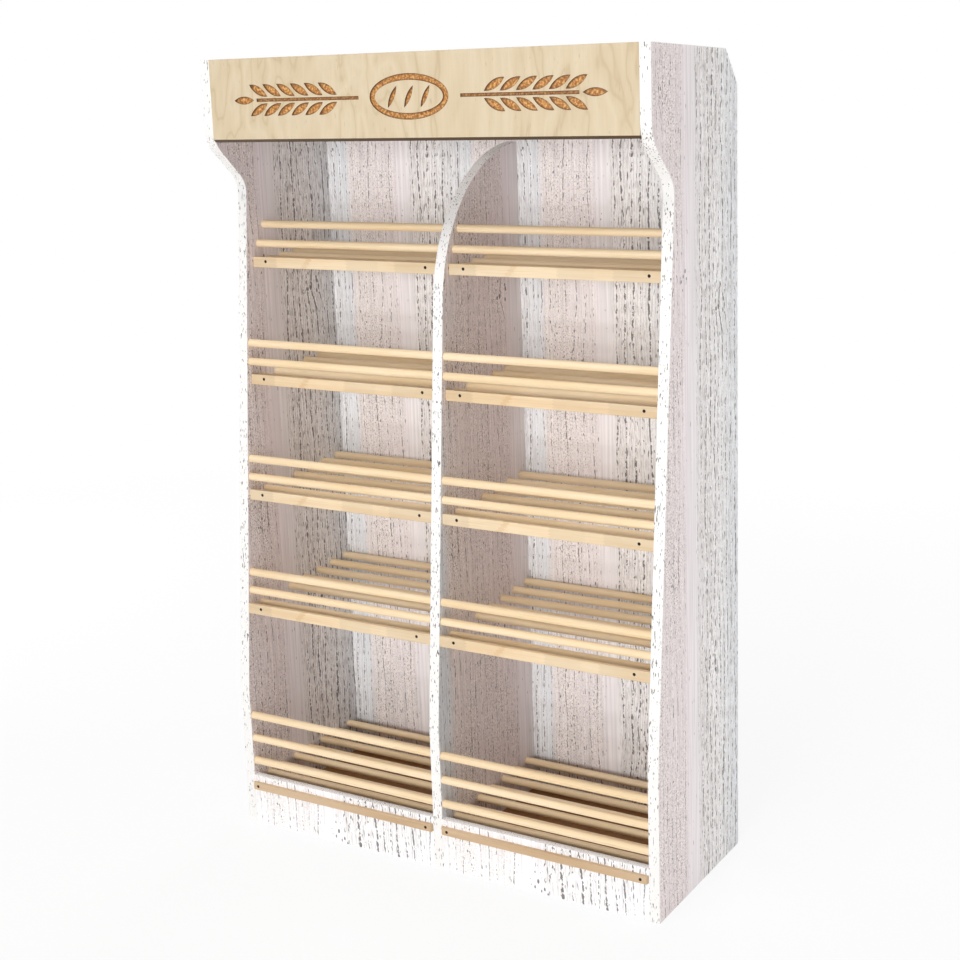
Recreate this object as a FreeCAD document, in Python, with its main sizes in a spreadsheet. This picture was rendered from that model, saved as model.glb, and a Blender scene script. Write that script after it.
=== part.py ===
import FreeCAD, Part
import os
import re
import Sketcher
from FreeCAD import Placement, Rotation, Vector

# A free-standing bakery bread rack with two bays of five sloping rod shelves.
# Front view: X runs to the right, Y runs to the back, Z runs up. The origin lies on the
# floor under the middle of the rack. Depths are counted from the front plane, which is
# the plane of the plinth boards.

doc = FreeCAD.newDocument("BreadRack")

# ---------------------------------------------------------------- driving sizes
sizes = [
    # carcass
    ("overall_height", 2000, "floor to the top of the side panels"),
    ("overall_depth", 450, "front plane to the back of the side panels"),
    ("panel_thickness", 28, "laminated board of sides, divider and top"),
    ("bay_width", 580, "clear width of one bay"),
    # outline of the side panels
    ("header_height", 201, "upright front edge of the header, at the top"),
    ("shoulder_radius", 80, "round curve under the header"),
    ("shoulder_drop", 99, "slanting edge from the header down to the neck"),
    ("neck_setback", 112, "depth of the front edge at the neck"),
    ("neck_radius", 60, "hollow curve at the neck"),
    ("knee_height", 370, "the upright lower front edge ends here"),
    ("header_setback", 6, "depth of the header's front edge"),
    ("chamfer_depth", 65, "rear top corner, along the depth"),
    ("chamfer_drop", 78, "rear top corner, along the height"),
    # divider
    ("sweep_drop", 270, "the divider leaves the leaning edge this far below the neck"),
    ("arc_radius", 400, "quarter sweep of the divider"),
    # back, top and bottom
    ("back_thickness", 10, "back panel"),
    ("rebate_width", 12, "rebate of the side panels for the back panel"),
    ("back_play", 0.25, "back panel in its rebates, each side"),
    ("back_clearance", 2, "back panel's top edge below the chamfered corner"),
    ("plinth_height", 133, "plinth boards"),
    ("plinth_thickness", 18, "plinth boards"),
    ("bottom_thickness", 18, "bottom boards"),
    ("bottom_play", 0.5, "bottom board to panel, each end"),
    ("cleat_size", 20, "square cleats under the bottom boards"),
    # sign board
    ("sign_height", 199, "sign board"),
    ("sign_thickness", 18, "sign board"),
    ("sign_bevel", 7, "lower front edge of the sign board"),
    ("groove_depth", 3, "routed ornament"),
    ("kernel_length", 62, "one kernel of the wheat ears"),
    ("kernel_width", 19, "one kernel of the wheat ears"),
    ("kernel_step", 42, "pair to pair along an ear"),
    ("kernel_splay", 28, "degrees between a kernel and its stem"),
    ("kernel_offset", 8, "root of a kernel beside the stem's middle line"),
    ("ear_start", 205, "first pair of kernels from the sign's middle"),
    ("stem_start", 142, "inner end of a stem from the sign's middle"),
    ("stem_width", 8, "stem of a wheat ear"),
    ("loaf_length", 220, "oval loaf in the middle"),
    ("loaf_width", 104, "oval loaf in the middle"),
    ("loaf_line", 15, "width of the loaf's outline"),
    ("cut_length", 56, "one cut on the loaf"),
    ("cut_width", 13, "one cut on the loaf"),
    ("cut_step", 46, "cut to cut"),
    ("cut_lean", 62, "degrees between a cut and the level"),
    # rods
    ("rod_diameter", 20, "all shelf rods"),
    ("rod_seat", 10, "length of a rod in its bore"),
    ("bore_play", 0.1, "gap round a rod in its bore"),
    ("bore_end_gap", 0.5, "gap behind a rod's end"),
    ("rod_pitch", 59, "floor rod to floor rod"),
    ("top_rod_pitch", 52.5, "floor rod to floor rod of the top shelf"),
    ("shelf_tilt", 6.1, "degrees that the shelf floors rise to the back"),
    ("top_rear_rod", 387, "depth of the top shelf's last floor rod"),
    ("second_rear_rod", 420, "depth of the second shelf's last floor rod"),
    ("third_rear_rod", 412, "depth of the third shelf's last floor rod"),
    ("fourth_rear_rod", 425, "depth of the fourth shelf's last floor rod"),
    ("bin_rear_rod", 403, "depth of the bottom bin's last floor rod"),
    ("bin_first_rod", 60, "depth of the bottom bin's first floor rod, close behind the plinth"),
    ("bin_rod_height", 117.5, "first floor rod of the bottom bin"),
    ("bin_tilt", 2, "degrees that the bin's floor rises to the back"),
    ("bin_lip_depth", 12, "lip rods of the bottom bin"),
    ("bin_lip_height", 171, "lowest lip rod of the bottom bin"),
    ("bin_lip_pitch", 64, "lip rod to lip rod of the bottom bin"),
    ("lip_rise", 60, "lower lip rod above a front board's underside"),
    ("lip_pitch", 48, "lower to upper lip rod"),
    ("lip_inset", 14, "lip rods behind the panels' front edge"),
    ("top_lip_inset", 30, "top shelf's lip rods behind the divider's sweep"),
    # shelf fronts
    ("low_board_height", 580, "underside of the lowest shelf's front board"),
    ("top_board_drop", 517, "underside of the top shelf's front board below the panels' tops"),
    ("low_board_depth", 20, "face of the lowest shelf's front board"),
    ("board_step", 33.3, "each higher front board stands this much further back"),
    ("board_height", 27, "front board"),
    ("board_thickness", 10, "front board"),
    ("board_play", 0.25, "front board or slat to panel, each end"),
    ("floor_rise", 10, "rod axis above the underside, at the board's face"),
    ("block_length", 58, "corner block behind a front board"),
    ("block_depth", 15, "corner block behind a front board"),
    ("block_height", 19, "corner block behind a front board"),
    ("block_lift", 1, "corner block above the front board's underside"),
    # bumper slats on the plinth
    ("slat_height", 20, "slat"),
    ("slat_thickness", 9, "slat"),
    ("slat_bottom", 96, "underside of the slat"),
    ("slat_corner", 6, "rounded ends of the slat"),
    # screws and dowels
    ("screw_diameter", 4, "shank"),
    ("screw_head", 8, "countersunk head"),
    ("screw_head_depth", 2.2, "countersunk head"),
    ("socket_radius", 1.7, "hexagon socket in a screw head"),
    ("socket_depth", 1.6, "hexagon socket in a screw head"),
    ("screw_play", 0.05, "gap round a shank or head"),
    ("board_screw_inset", 41, "from the panel face"),
    ("board_screw_rise", 15.5, "above the front board's underside"),
    ("board_screw_length", 24, "front board into corner block"),
    ("slat_screw_inset", 18, "from the panel face"),
    ("slat_screw_length", 24, "slat into plinth board"),
    ("back_screw_length", 20, "back panel into carcass"),
    ("back_screw_start", 90, "lowest screw of the back panel"),
    ("back_screw_top", 80, "highest screw, from the top of the back panel"),
    ("back_screw_spread", 300, "screw to screw along the top panel"),
    ("cleat_screw_length", 32, "cleat into panel"),
    ("cleat_screw_margin", 70, "from the end of a cleat"),
    ("dowel_diameter", 8, "beech dowel"),
    ("dowel_seat", 12, "part of a dowel in the panel"),
    ("dowel_reach", 24, "part of a dowel in the piece it holds"),
    ("dowel_play", 0.05, "gap round a dowel"),
    ("dowel_end_gap", 0.5, "gap behind a dowel's end"),
    ("block_dowel", 6, "diameter of the corner blocks' dowels"),
    ("block_dowel_seat", 10, "part of a corner block's dowel in the panel"),
    ("block_dowel_reach", 20, "part of a corner block's dowel in the block"),
    ("plinth_dowel_low", 30, "lower dowel of a plinth board"),
    ("plinth_dowel_high", 90, "upper dowel of a plinth board"),
    ("sign_dowel_margin", 48, "from the sign board's edges"),
    ("top_dowel_margin", 60, "from the top panel's edges"),
    # finish
    ("edge_ease", 1, "bevelled edges of the side panels and the divider"),
    ("board_round", 1.5, "eased edges of the front boards and slats"),
]

sheet = doc.addObject("Spreadsheet::Sheet", "Sizes")
aliases = {alias for alias, value, note in sizes}
for row, (alias, value, note) in enumerate(sizes, start=1):
    sheet.set("A%d" % row, alias)
    sheet.set("B%d" % row, str(value))
    sheet.set("C%d" % row, note)
    sheet.setAlias("B%d" % row, alias)
workings = doc.addObject("Spreadsheet::Sheet", "Workings")
doc.recompute()

# Shelf 1 is the top one. Floor rods of each shelf: their numbers, depth of the last one, and pitch.
SHELVES = ["1", "2", "3", "4"]
floor_rod_numbers = {"1": range(5), "2": range(6), "3": range(6), "4": range(7), "bin": range(7)}
rear_rods = {"1": "top_rear_rod", "2": "second_rear_rod", "3": "third_rear_rod",
             "4": "fourth_rear_rod", "bin": "bin_rear_rod"}
rod_pitches = {"1": "top_rod_pitch", "2": "rod_pitch", "3": "rod_pitch", "4": "rod_pitch", "bin": "rod_pitch"}
bin_lip_rod_numbers = range(3)
kernel_pairs = range(6)
back_screw_rows = range(6)
back_screw_columns = range(-3, 4, 2)


def sized(text):
    """Turns a formula on the size names into an expression on the sheet's cells."""
    return re.sub("[a-z_]+", lambda word: ("Sizes." if word[0] in aliases else "") + word[0], text)


def value_of(text):
    """Works out such a formula in a spare cell, as a plain number."""
    workings.set("A1", "=" + sized(text))
    workings.recompute()
    result = workings.get("A1")
    return float(getattr(result, "Value", result))


def bind(thing, **formulas):
    """Binds properties of an object to formulas. Double underscores stand for dots."""
    for name, formula in formulas.items():
        thing.setExpression(name.replace("__", "."), sized(formula))


def place(thing, x="0", depth="0", height="0"):
    """Puts an object at a place in the rack. Depth counts from the front plane."""
    bind(thing, Placement__Base__x=x, Placement__Base__y=FRONT + " + " + depth, Placement__Base__z=height)


# ---------------------------------------------------------------- shared formulas
FRONT = "(slat_thickness - overall_depth) / 2"
HALF_WIDTH = "(bay_width + 1.5 * panel_thickness)"
BACK_FACE = "(overall_depth - back_thickness)"
BACK_TOP = "(overall_height - chamfer_drop - back_clearance)"
SIGN_BOTTOM = "(overall_height - sign_height)"
SIGN_BACK = "(header_setback + sign_thickness)"
TOP_UNDERSIDE = "(%s - panel_thickness)" % BACK_TOP
SHOULDER_HEIGHT = "(overall_height - header_height)"
NECK_HEIGHT = "(%s - shoulder_drop)" % SHOULDER_HEIGHT
LEAN = "(neck_setback / (%s - knee_height))" % NECK_HEIGHT
BORE_RADIUS = "(rod_diameter / 2 + bore_play)"
ARC_START_HEIGHT = "(%s - sweep_drop)" % NECK_HEIGHT
ARC_START_DEPTH = "(%s * (%s - knee_height))" % (LEAN, ARC_START_HEIGHT)
ARC_CENTRE_DEPTH = "(%s + arc_radius / sqrt(1 + %s ^ 2))" % (ARC_START_DEPTH, LEAN)
ARC_CENTRE_HEIGHT = "(%s - %s * arc_radius / sqrt(1 + %s ^ 2))" % (ARC_START_HEIGHT, LEAN, LEAN)
ARC_END_HEIGHT = "(%s + sqrt(arc_radius ^ 2 - (%s - overall_depth) ^ 2))" % (ARC_CENTRE_HEIGHT,
                                                                              ARC_CENTRE_DEPTH)
INNER_FACE = "(bay_width + panel_thickness / 2)"
REBATE_MIDDLE = "(rebate_width / 2)"

SHELF_PITCH = "((overall_height - top_board_drop - low_board_height) / %d)" % (len(SHELVES) - 1)

BAYS = {
    "left": "(-panel_thickness / 2 - bay_width)",
    "right": "(panel_thickness / 2)",
}


def edge_depth(height):
    """Depth of the leaning front edge at a height."""
    return "(%s * (%s - knee_height))" % (LEAN, height)


def sweep_depth(height):
    """Depth of the divider's round sweep at a height."""
    return "(%s - sqrt(arc_radius ^ 2 - (%s - %s) ^ 2))" % (ARC_CENTRE_DEPTH, height, ARC_CENTRE_HEIGHT)


def steps_up(shelf):
    """How many shelves up from the lowest one."""
    return SHELVES[::-1].index(shelf)


def board_bottom(shelf):
    """Underside of a shelf's front board. The shelves are evenly spaced."""
    return "(low_board_height + %d * %s)" % (steps_up(shelf), SHELF_PITCH)


def board_face(shelf):
    """Depth of the face of a shelf's front board."""
    return "(low_board_depth + %d * board_step)" % steps_up(shelf)


def floor_rods(shelf):
    """Depth and height of each floor rod of a shelf, from the back to the front."""
    numbers, rear, pitch = floor_rod_numbers[shelf], rear_rods[shelf], rod_pitches[shelf]
    places = []
    for n in numbers:
        depth = "(%s - %d * %s)" % (rear, n, pitch)
        if shelf == "bin":
            if n == numbers[-1]:
                depth = "bin_first_rod"
            height = "(bin_rod_height + tan(bin_tilt) * (%s - bin_first_rod))" % depth
        else:
            rise = "tan(shelf_tilt) * (%s - %s)" % (depth, board_face(shelf))
            height = "(%s + floor_rise + %s)" % (board_bottom(shelf), rise)
        places.append((depth, height))
    return places


def lip_rods(shelf):
    """Depth and height of each lip rod of a shelf, from the lowest to the highest."""
    if shelf == "bin":
        return [("bin_lip_depth", "(bin_lip_height + %d * bin_lip_pitch)" % n)
                for n in bin_lip_rod_numbers]
    places = []
    for n in range(2):
        height = "(%s + lip_rise + %d * lip_pitch)" % (board_bottom(shelf), n)
        if shelf == "1":
            depth = "(%s + top_lip_inset)" % sweep_depth(height)
        else:
            depth = "(%s + lip_inset)" % edge_depth(height)
        places.append((depth, height))
    return places


all_rods = []
for shelf in SHELVES + ["bin"]:
    all_rods += floor_rods(shelf) + lip_rods(shelf)

block_dowels = [("(%s + board_thickness + block_depth / 2)" % board_face(shelf),
                 "(%s + block_lift + block_height / 2)" % board_bottom(shelf)) for shelf in SHELVES]
plinth_dowels = [("plinth_thickness / 2", "plinth_dowel_low"), ("plinth_thickness / 2", "plinth_dowel_high")]
sign_dowels = [("(header_setback + sign_thickness / 2)", "sign_dowel_margin"),
               ("(header_setback + sign_thickness / 2)", "(sign_height - sign_dowel_margin)")]
top_dowels = [("(%s + top_dowel_margin)" % SIGN_BACK, "panel_thickness / 2"),
              ("((%s + %s) / 2)" % (SIGN_BACK, BACK_FACE), "panel_thickness / 2"),
              ("(%s - top_dowel_margin)" % BACK_FACE, "panel_thickness / 2")]
raised_sign_dowels = [(depth, "(%s + %s)" % (SIGN_BOTTOM, up)) for depth, up in sign_dowels]
raised_top_dowels = [(depth, "(%s + %s)" % (TOP_UNDERSIDE, up)) for depth, up in top_dowels]
cleat_screws = [("(plinth_thickness + cleat_screw_margin)", "cleat_size / 2"),
                ("(%s - cleat_screw_margin)" % BACK_FACE, "cleat_size / 2")]
back_screw_pitch = "((%s - back_screw_start - back_screw_top) / %d)" % (BACK_TOP, len(back_screw_rows) - 1)
back_screw_heights = ["(back_screw_start + %d * %s)" % (n, back_screw_pitch) for n in back_screw_rows]
back_screw_places = ["(%d * back_screw_spread / 2)" % n for n in back_screw_columns]


# ---------------------------------------------------------------- drawing helpers
def new_body(label):
    """An empty body with its label."""
    body = doc.addObject("PartDesign::Body", label)
    body.Label = label
    return body


def new_sketch(body, name, plane, offset="0"):
    """A sketch on one of the body's own origin planes, moved along the plane's normal."""
    sketch = body.newObject("Sketcher::SketchObject", name)
    planes = [feature for feature in body.Origin.OriginFeatures if feature.Role == plane]
    sketch.AttachmentSupport = [(planes[0], "")]
    sketch.MapMode = "FlatFace"
    bind(sketch, AttachmentOffset__Base__z=offset)
    return sketch


def fix_size(sketch, kind, *places, size):
    """Adds a dimension to a sketch and binds it to a formula."""
    number = sketch.addConstraint(Sketcher.Constraint(kind, *places, value_of(size)))
    bind(sketch, **{"Constraints[%d]" % number: size})


def pin(sketch, geometry, point, across, up):
    """Fixes one point of a sketch at two formulas."""
    for kind, axis, formula in (("DistanceX", -2, across), ("DistanceY", -1, up)):
        if formula == "0":
            sketch.addConstraint(Sketcher.Constraint("PointOnObject", geometry, point, axis))
        else:
            fix_size(sketch, kind, -1, 1, geometry, point, size=formula)


def spot(across, up):
    """A point of a sketch from two formulas."""
    return Vector(value_of(across), value_of(up), 0)


def draw_outline(sketch, corners):
    """Draws a closed outline with straight sides through its corners."""
    spots = [spot(across, up) for across, up in corners]
    for start, end in zip(spots, spots[1:] + spots[:1]):
        sketch.addGeometry(Part.LineSegment(start, end), False)
    for number, (across, up) in enumerate(corners):
        following = (number + 1) % len(corners)
        sketch.addConstraint(Sketcher.Constraint("Coincident", number, 2, following, 1))
        pin(sketch, number, 1, across, up)


def draw_box(sketch, left, bottom, right, top):
    """Draws a rectangle."""
    draw_outline(sketch, [(left, bottom), (right, bottom), (right, top), (left, top)])


def draw_circles(sketch, middles, radius):
    """Draws equal circles."""
    up_normal = Vector(0, 0, 1)
    for across, up in middles:
        circle = sketch.addGeometry(Part.Circle(spot(across, up), up_normal, value_of(radius)), False)
        pin(sketch, circle, 3, across, up)
        if circle:
            sketch.addConstraint(Sketcher.Constraint("Equal", 0, circle))
    fix_size(sketch, "Radius", 0, size=radius)


def draw_kernel(sketch, root, tip, width):
    """Draws a pointed oval between two points, from two equal arcs."""
    length_squared = "((%s - %s) ^ 2 + (%s - %s) ^ 2)" % (tip[0], root[0], tip[1], root[1])
    radius = "((%s + %s ^ 2) / (4 * %s))" % (length_squared, width, width)
    start, end = spot(*root), spot(*tip)
    along = end - start
    bulge = Vector(along.y, -along.x, 0).normalize() * (value_of(width) / 2)
    middle = (start + end) / 2
    out = sketch.addGeometry(Part.Arc(start, middle + bulge, end), False)
    back = sketch.addGeometry(Part.Arc(end, middle - bulge, start), False)
    fix_size(sketch, "Radius", out, size=radius)
    sketch.addConstraint(Sketcher.Constraint("Equal", out, back))
    sketch.addConstraint(Sketcher.Constraint("Coincident", out, 2, back, 1))
    sketch.addConstraint(Sketcher.Constraint("Coincident", back, 2, out, 1))
    pin(sketch, out, 1, *root)
    pin(sketch, out, 2, *tip)


def draw_oval(sketch, across, up, long_radius, short_radius):
    """Draws an ellipse that is longer along the sketch's first axis."""
    oval = Part.Ellipse(spot(across, up), value_of(long_radius), value_of(short_radius))
    number = sketch.addGeometry(oval, False)
    sketch.exposeInternalGeometry(number)
    pin(sketch, number, 3, across, up)
    sketch.addConstraint(Sketcher.Constraint("Horizontal", number + 1))
    fix_size(sketch, "Distance", number + 1, size="2 * " + long_radius)
    fix_size(sketch, "Distance", number + 2, size="2 * " + short_radius)


def add_pad(body, sketch, length, reverse=False):
    """Pads a sketch along its normal."""
    pad = body.newObject("PartDesign::Pad", "Pad")
    pad.Profile = sketch
    pad.Reversed = reverse
    bind(pad, Length=length)
    body.Tip = pad
    doc.recompute()
    return pad


def add_pocket(body, sketch, depth, reverse=False):
    """Cuts a sketch into the body, and makes sure that it did cut."""
    before = body.Shape.Volume
    pocket = body.newObject("PartDesign::Pocket", "Pocket")
    pocket.Profile = sketch
    pocket.Reversed = reverse
    bind(pocket, Length=depth)
    body.Tip = pocket
    doc.recompute()
    if body.Shape.Volume > before - 1:
        raise RuntimeError("%s: %s cuts nothing" % (body.Label, sketch.Label))
    return pocket


def add_edge_work(body, kind, name, size, chosen):
    """Rounds or bevels those edges of the body whose middle point passes a test."""
    base = body.Tip
    names = []
    for number, edge in enumerate(base.Shape.Edges, start=1):
        middle = edge.valueAt((edge.FirstParameter + edge.LastParameter) / 2)
        if chosen(edge, middle):
            names.append("Edge%d" % number)
    work = body.newObject("PartDesign::" + kind, name)
    work.Base = (base, names)
    if kind == "Fillet":
        bind(work, Radius=size)
    else:
        bind(work, Size=size)
    body.Tip = work
    doc.recompute()
    return work


def drill(body, name, plane, offset, holes, radius, depth, reverse=False):
    """Drills equal blind holes from a plane. Reverse drills along the plane's normal."""
    sketch = new_sketch(body, name, plane, offset)
    draw_circles(sketch, holes, radius)
    return add_pocket(body, sketch, depth, reverse)


def drill_for_screws(body, name, offset, holes, depth, countersunk=False, reverse=False):
    """Drills screw holes from a plane across the depth, with or without seats for the heads."""
    sketch = new_sketch(body, name, "XZ_Plane", offset)
    draw_circles(sketch, holes, "(screw_diameter / 2 + screw_play)")
    before = body.Shape.Volume
    hole = body.newObject("PartDesign::Hole", "Hole")
    hole.Profile = sketch
    doc.recompute()
    hole.DepthType = "Dimension"
    hole.DrillPoint = "Flat"
    hole.Reversed = reverse
    bind(hole, Diameter="screw_diameter + 2 * screw_play", Depth=depth)
    if countersunk:
        hole.HoleCutType = "Countersink"
        bind(hole, HoleCutDiameter="screw_head + 2 * screw_play",
             HoleCutCountersinkAngle="2 * atan((screw_head - screw_diameter) / (2 * screw_head_depth))")
    body.Tip = hole
    doc.recompute()
    if body.Shape.Volume > before - 1:
        raise RuntimeError("%s: %s cuts nothing" % (body.Label, name))
    return hole


def drill_ends(body, name, left_face, right_face, holes, radius, depth):
    """Drills the same blind holes into both ends of a board."""
    drill(body, name + "Left", "YZ_Plane", left_face, holes, radius, depth, True)
    drill(body, name + "Right", "YZ_Plane", right_face, holes, radius, depth, False)


def make_turned(kind, name, direction, middle, **formulas):
    """A round or prismatic solid from the middle of one end, along a direction."""
    solid = doc.addObject(kind, name)
    solid.Placement = Placement(Vector(), Rotation(Vector(0, 0, 1), Vector(*direction)))
    bind(solid, **formulas)
    place(solid, *middle)
    return solid


def make_bar(name, radius, length, direction, x, depth, height):
    """A round bar from a point, along a direction."""
    return make_turned("Part::Cylinder", name, direction, (x, depth, height), Radius=radius, Height=length)


def make_screw(name, length, direction, x, depth, height):
    """A countersunk screw with a hexagon socket. The point is the middle of its head."""
    middle = (x, depth, height)
    shank = make_bar(name + "_shank", "screw_diameter / 2", length, direction, *middle)
    head = make_turned("Part::Cone", name + "_head", direction, middle, Radius1="screw_head / 2",
                       Radius2="screw_diameter / 2", Height="screw_head_depth")
    socket = make_turned("Part::Prism", name + "_socket", direction, middle,
                         Circumradius="socket_radius", Height="socket_depth")
    socket.Polygon = 6
    blank = doc.addObject("Part::Fuse", name + "_blank")
    blank.Base = head
    blank.Tool = shank
    screw = doc.addObject("Part::Cut", name)
    screw.Base = blank
    screw.Tool = socket
    return screw


def make_cut(name, blank, tools):
    """A solid less some others."""
    tool = tools[0]
    if len(tools) > 1:
        tool = doc.addObject("Part::MultiFuse", name + "_tools")
        tool.Shapes = tools
    cut = doc.addObject("Part::Cut", name)
    cut.Base = blank
    cut.Tool = tool
    return cut


def make_block(name, length, thickness, height, x, depth, bottom):
    """A plain block of wood."""
    block = doc.addObject("Part::Box", name)
    bind(block, Length=length, Width=thickness, Height=height)
    place(block, x, depth, bottom)
    return block


def make_node_group(label, members):
    """One named node made of several separate solids."""
    compound = doc.addObject("Part::Compound", label)
    compound.Label = label
    compound.Links = members
    return compound


def make_board(label, length, thickness, height, x, depth, bottom):
    """A plain board: length across the rack, thickness along the depth."""
    body = new_body(label)
    outline = new_sketch(body, "Outline", "XY_Plane")
    draw_box(outline, "0", "0", length, thickness)
    add_pad(body, outline, height)
    place(body, x, depth, bottom)
    return body


def runs_along_x(edge):
    """True for a straight edge that runs across the rack."""
    ends = [vertex.Point for vertex in edge.Vertexes]
    return len(ends) == 2 and abs(ends[0].y - ends[1].y) + abs(ends[0].z - ends[1].z) < 0.001


def is_near(point, across, up, reach=1):
    """True for a point near two formulas, across the depth and up the height."""
    return abs(point.y - value_of(across)) < reach and abs(point.z - value_of(up)) < reach


nodes = []

# ---------------------------------------------------------------- side panels
# One board each, with the leaning front edge, the round shoulder under the header, the
# hollow neck and the bevelled rear corner. Their inner faces take rods and dowels.
side_corners = [
    ("0", "0"),
    ("overall_depth", "0"),
    ("overall_depth", "overall_height - chamfer_drop"),
    ("overall_depth - chamfer_depth", "overall_height"),
    ("header_setback", "overall_height"),
    ("header_setback", SHOULDER_HEIGHT),
    ("neck_setback", NECK_HEIGHT),
    ("0", "knee_height"),
]
panels = [
    ("left_side_panel", "-%s" % HALF_WIDTH, "panel_thickness", False),
    ("right_side_panel", "bay_width + panel_thickness / 2", "0", True),
]
for label, x, inner_face, reverse in panels:
    panel = new_body(label)
    outline = new_sketch(panel, "Outline", "YZ_Plane")
    draw_outline(outline, side_corners)
    add_pad(panel, outline, "panel_thickness")
    add_edge_work(panel, "Fillet", "Shoulder", "shoulder_radius",
                  lambda edge, middle: is_near(middle, "header_setback", SHOULDER_HEIGHT))
    add_edge_work(panel, "Fillet", "Neck", "neck_radius",
                  lambda edge, middle: is_near(middle, "neck_setback", NECK_HEIGHT))
    back = value_of("overall_depth - chamfer_depth")
    add_edge_work(panel, "Chamfer", "EasedEdges", "edge_ease",
                  lambda edge, middle: not runs_along_x(edge) and middle.y < back and middle.z > 1)

    rebate = new_sketch(panel, "RearRebate", "YZ_Plane", inner_face)
    draw_box(rebate, BACK_FACE, "0", "overall_depth", BACK_TOP)
    add_pocket(panel, rebate, "rebate_width", reverse)
    drill(panel, "RodBores", "YZ_Plane", inner_face, all_rods, BORE_RADIUS,
          "rod_seat + bore_end_gap", reverse)
    drill(panel, "DowelBores", "YZ_Plane", inner_face, plinth_dowels + raised_sign_dowels + raised_top_dowels,
          "(dowel_diameter / 2 + dowel_play)", "dowel_seat + dowel_end_gap", reverse)
    drill(panel, "BlockDowelBores", "YZ_Plane", inner_face, block_dowels,
          "(block_dowel / 2 + dowel_play)", "block_dowel_seat + dowel_end_gap", reverse)
    drill(panel, "CleatScrewHoles", "YZ_Plane", inner_face, cleat_screws,
          "(screw_diameter / 2 + screw_play)", "cleat_screw_length - cleat_size + bore_end_gap", reverse)
    screw_x = REBATE_MIDDLE if reverse else "(panel_thickness - %s)" % REBATE_MIDDLE
    drill_for_screws(panel, "BackScrewHoles", "-%s" % BACK_FACE,
                     [(screw_x, height) for height in back_screw_heights],
                     "back_screw_length - back_thickness + bore_end_gap", reverse=True)
    place(panel, x)
    nodes.append(panel)

# ---------------------------------------------------------------- centre divider
# The same leaning front edge, then a wide sweep back to the rear panel. Its blank is as
# deep as the side panels, and is trimmed to end at the back panel. It is bored for the
# rods of both bays.
divider = new_body("center_divider")
outline = new_sketch(divider, "Outline", "YZ_Plane")
centre = spot(ARC_CENTRE_DEPTH, ARC_CENTRE_HEIGHT)
sweep_start = spot(ARC_START_DEPTH, ARC_START_HEIGHT)
sweep_end = spot("overall_depth", ARC_END_HEIGHT)
knee = spot("0", "knee_height")
foot = spot("overall_depth", "0")
sweep_middle = centre + (sweep_start + sweep_end - centre * 2).normalize() * value_of("arc_radius")
outline.addGeometry(Part.LineSegment(Vector(), knee), False)
outline.addGeometry(Part.LineSegment(knee, sweep_start), False)
outline.addGeometry(Part.Arc(sweep_end, sweep_middle, sweep_start), False)
outline.addGeometry(Part.LineSegment(sweep_end, foot), False)
outline.addGeometry(Part.LineSegment(foot, Vector()), False)
for joined in ((0, 2, 1, 1), (1, 2, 2, 2), (2, 1, 3, 1), (3, 2, 4, 1), (4, 2, 0, 1)):
    outline.addConstraint(Sketcher.Constraint("Coincident", *joined))
pin(outline, 0, 1, "0", "0")
pin(outline, 1, 1, "0", "knee_height")
pin(outline, 2, 3, ARC_CENTRE_DEPTH, ARC_CENTRE_HEIGHT)
pin(outline, 4, 1, "overall_depth", "0")
fix_size(outline, "Radius", 2, size="arc_radius")
fix_size(outline, "DistanceY", -1, 1, 1, 2, size=ARC_START_HEIGHT)
outline.addConstraint(Sketcher.Constraint("Vertical", 3))
add_pad(divider, outline, "panel_thickness")
back = value_of("overall_depth") - 1
add_edge_work(divider, "Chamfer", "EasedEdges", "edge_ease",
              lambda edge, middle: not runs_along_x(edge) and middle.y < back and middle.z > 1)
trim = new_sketch(divider, "RearTrim", "YZ_Plane")
draw_box(trim, BACK_FACE, "0", "(overall_depth + back_thickness)", "overall_height")
add_pocket(divider, trim, "panel_thickness", True)
for side, face, reverse in (("Left", "0", True), ("Right", "panel_thickness", False)):
    drill(divider, side + "RodBores", "YZ_Plane", face, all_rods, BORE_RADIUS,
          "rod_seat + bore_end_gap", reverse)
    drill(divider, side + "DowelBores", "YZ_Plane", face, plinth_dowels,
          "(dowel_diameter / 2 + dowel_play)", "dowel_seat + dowel_end_gap", reverse)
    drill(divider, side + "BlockDowelBores", "YZ_Plane", face, block_dowels,
          "(block_dowel / 2 + dowel_play)", "block_dowel_seat + dowel_end_gap", reverse)
    drill(divider, side + "CleatScrewHoles", "YZ_Plane", face, cleat_screws,
          "(screw_diameter / 2 + screw_play)", "cleat_screw_length - cleat_size + bore_end_gap", reverse)
drill_for_screws(divider, "BackScrewHoles", "-%s" % BACK_FACE,
                 [("panel_thickness / 2", height) for height in back_screw_heights[:-1]],
                 "back_screw_length - back_thickness + bore_end_gap", reverse=True)
place(divider, "-panel_thickness / 2")
nodes.append(divider)

# ---------------------------------------------------------------- back panel
# A thin board in the rebates of the side panels, screwed on from behind.
back_panel = new_body("back_panel")
BACK_HALF = "(%s + rebate_width - back_play)" % INNER_FACE
outline = new_sketch(back_panel, "Outline", "XY_Plane")
draw_box(outline, "-" + BACK_HALF, "0", BACK_HALF, "back_thickness")
add_pad(back_panel, outline, BACK_TOP)
SIDE_SCREWS = "(%s + %s)" % (INNER_FACE, REBATE_MIDDLE)
TOP_SCREWS = "(%s + panel_thickness / 2)" % TOP_UNDERSIDE
back_screws = [(x, height) for x in ("-" + SIDE_SCREWS, SIDE_SCREWS) for height in back_screw_heights]
back_screws += [("0", height) for height in back_screw_heights[:-1]]
back_screws += [(x, TOP_SCREWS) for x in back_screw_places]
drill_for_screws(back_panel, "ScrewHoles", "-back_thickness", back_screws, "back_thickness",
                 countersunk=True, reverse=True)
place(back_panel, depth=BACK_FACE)
nodes.append(back_panel)

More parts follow.
